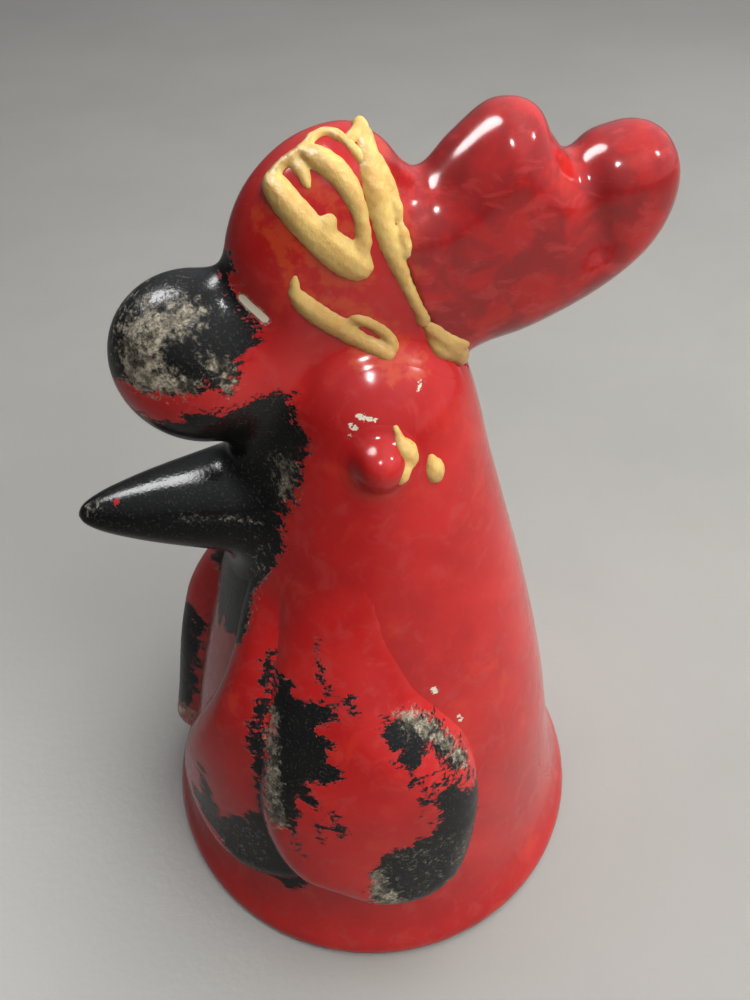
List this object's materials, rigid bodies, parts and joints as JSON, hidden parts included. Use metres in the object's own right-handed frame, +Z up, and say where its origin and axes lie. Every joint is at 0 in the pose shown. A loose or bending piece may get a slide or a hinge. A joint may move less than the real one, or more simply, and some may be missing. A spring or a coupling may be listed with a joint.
{
  "type": "ceramic rooster head figure",
  "caption": "Hollow glazed ceramic rooster head on a conical neck that stands on its open rim, with a glued-back comb fragment, beak, eyes, wattles and ear lobes.",
  "frame": {"origin": "centre of the figure's bounding box at the level of the foot rim, so that it stands on Z = 0; the neck's axis is 0.85 mm towards +X", "axes": "+Z up along the neck, the beak points towards -X, and +Y is towards the bird's right side"},
  "size_m": [0.0632, 0.0616, 0.102],
  "materials": {
    "red_glaze": "glossy red glaze with worn patches down to black and cream",
    "black_glaze": "glossy black glaze with worn cream areas",
    "adhesive": "satin yellow dried glue"
  },
  "bodies": {
    "root": {"neck_body": "red_glaze", "beak": "black_glaze", "eye_left": "red_glaze", "eye_right": "red_glaze", "ear_lobe_left": "red_glaze", "ear_lobe_right": "red_glaze", "wattle_left": "red_glaze", "wattle_right": "red_glaze", "comb_front_lobe": "black_glaze", "comb_middle_lobe": "red_glaze", "comb_rear_fragment": "red_glaze", "glue_film": "adhesive", "glue_seam_left": "adhesive", "glue_seam_right": "adhesive", "glue_loop": "adhesive", "glue_lower_bead": "adhesive", "glue_heel": "adhesive", "glue_drop_eye": "adhesive", "glue_drop_cheek": "adhesive"}
  },
  "joints": []
}
